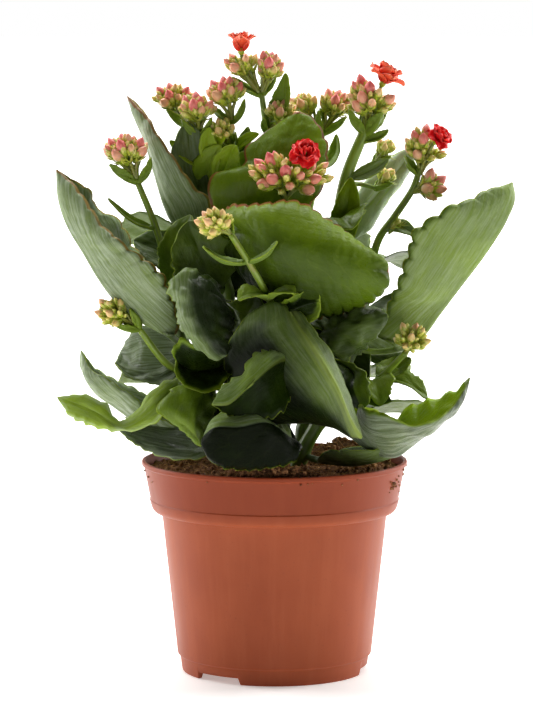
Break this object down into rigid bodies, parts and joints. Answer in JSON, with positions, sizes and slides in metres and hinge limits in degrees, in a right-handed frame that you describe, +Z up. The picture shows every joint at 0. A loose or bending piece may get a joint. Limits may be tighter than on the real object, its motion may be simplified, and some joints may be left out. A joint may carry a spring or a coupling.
{
  "type": "potted kalanchoe plant",
  "caption": "Flowering succulent house plant in a tapered plastic nursery pot, with scalloped fleshy leaves and heads of coral buds opening into small red double blooms.",
  "frame": {"origin": "middle of the box round the whole plant, on the plane that the pot stands on; the pot's axis stands 5.4 mm to the left of it and 1.9 mm in front of it", "axes": "+Z up along the pot's axis, -Y towards the plant's front, +X to the right as seen from the front"},
  "size_m": [0.2068, 0.1574, 0.2887],
  "materials": {
    "pot": "satin",
    "soil": "matte",
    "leaf": "satin",
    "spray": "satin",
    "petal": "matte"
  },
  "bodies": {
    "root": {"pot": "pot", "soil": "soil", "leafy_shoot_left": "leaf", "leafy_shoot_frontLeft": "leaf", "leafy_shoot_centre": "leaf", "leafy_shoot_front": "leaf", "leafy_shoot_right": "leaf", "leafy_shoot_backRight": "leaf", "leafy_shoot_backLeft": "leaf", "leafy_shoot_back": "leaf", "spray_left_tall": "spray", "spray_left_low": "spray", "spray_front": "spray", "spray_centre_front": "spray", "spray_centre_tall": "spray", "spray_back_left": "spray", "spray_back": "spray", "spray_right_thick": "spray", "spray_right_tall": "spray", "spray_right_low": "spray", "bloom_centre_front": "petal", "bloom_centre_tall": "petal", "bloom_right_thick": "petal", "bloom_right_tall": "petal"}
  },
  "joints": []
}
